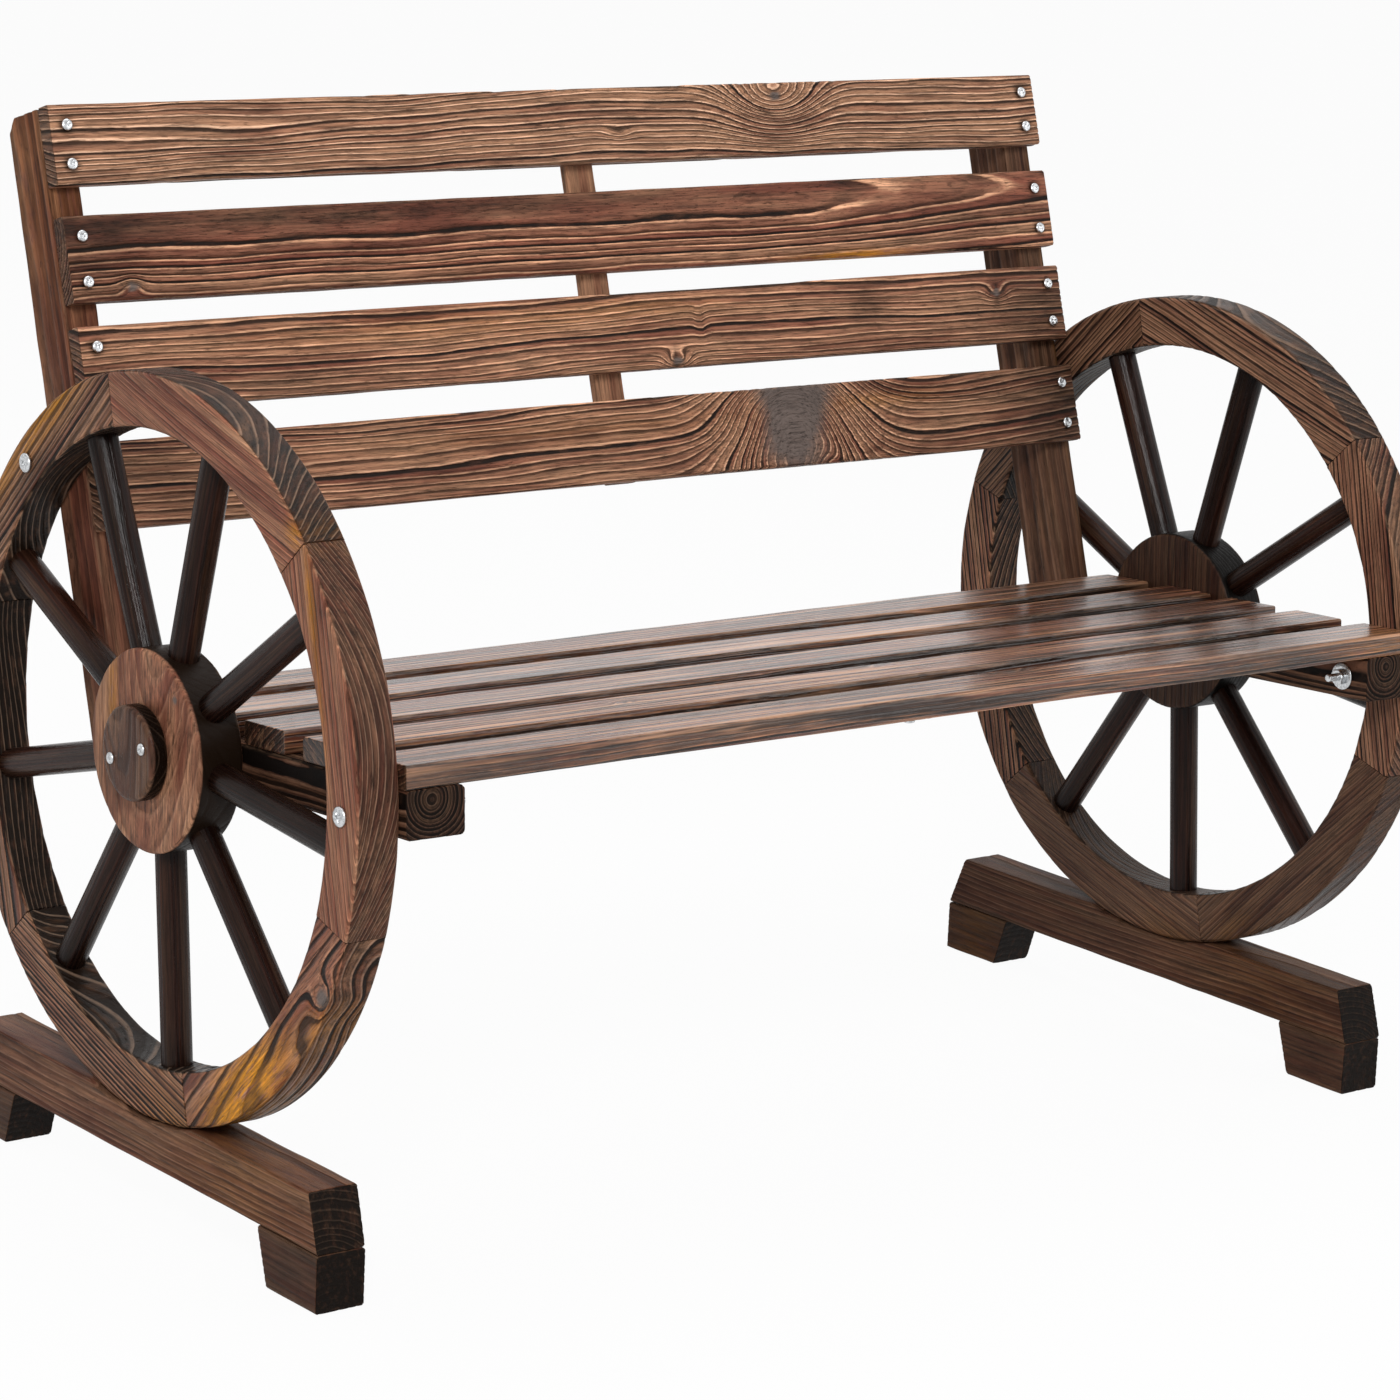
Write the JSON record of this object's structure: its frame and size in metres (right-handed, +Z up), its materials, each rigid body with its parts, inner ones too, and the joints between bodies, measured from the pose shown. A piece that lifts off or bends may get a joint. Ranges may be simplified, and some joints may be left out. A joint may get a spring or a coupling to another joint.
{
  "type": "wagon wheel bench",
  "caption": "Rustic wooden garden bench with a slatted seat and leaning slatted back hung between spoked wagon wheels that stand in long feet.",
  "frame": {"origin": "on the ground, under the middle of the bench's bounding box", "axes": "+X along the bench to the sitter's left, +Y to the back, +Z up"},
  "size_m": [1.0998, 0.567, 0.8081],
  "materials": {
    "rim_wood": "torched and stained, satin",
    "plain_wood": "bare",
    "dark_wood": "dark stain, semi-gloss",
    "hub_wood": "stained, satin",
    "foot_wood": "torched and stained, satin",
    "frame_wood": "stained, matt",
    "seat_wood": "torched and varnished, gloss",
    "back_wood": "torched and brushed, satin",
    "zinc_steel": "zinc plated, bright"
  },
  "bodies": {
    "root": {"left_felloe_1": "rim_wood", "left_felloe_2": "rim_wood", "left_felloe_3": "rim_wood", "left_felloe_4": "rim_wood", "left_felloe_5": "rim_wood", "left_felloe_6": "rim_wood", "left_felloe_dowels": "plain_wood", "left_spokes": "dark_wood", "left_hub": "hub_wood", "left_hub_cap": "dark_wood", "left_foot_beam": "foot_wood", "left_front_foot_block": "foot_wood", "left_back_foot_block": "foot_wood", "left_seat_rail": "frame_wood", "left_back_post": "frame_wood", "right_felloe_1": "rim_wood", "right_felloe_2": "rim_wood", "right_felloe_3": "rim_wood", "right_felloe_4": "rim_wood", "right_felloe_5": "rim_wood", "right_felloe_6": "rim_wood", "right_felloe_dowels": "plain_wood", "right_spokes": "dark_wood", "right_hub": "hub_wood", "right_hub_cap": "dark_wood", "right_foot_beam": "foot_wood", "right_front_foot_block": "foot_wood", "right_back_foot_block": "foot_wood", "right_seat_rail": "frame_wood", "right_back_post": "frame_wood", "seat_slat_1": "seat_wood", "seat_slat_2": "seat_wood", "seat_slat_3": "seat_wood", "seat_slat_4": "seat_wood", "seat_slat_5": "seat_wood", "seat_batten": "frame_wood", "back_slat_1": "back_wood", "back_slat_2": "back_wood", "back_slat_3": "back_wood", "back_slat_4": "back_wood", "back_batten": "frame_wood", "wheel_bolts": "zinc_steel", "bolt_washers": "zinc_steel", "bolt_nuts": "zinc_steel", "hub_cap_screws": "zinc_steel", "back_slat_screws": "zinc_steel", "back_batten_screws": "zinc_steel", "seat_slat_screws": "zinc_steel", "seat_batten_screws": "zinc_steel", "post_screws": "zinc_steel", "foot_block_screws": "zinc_steel", "wheel_foot_screws": "zinc_steel"}
  },
  "joints": []
}
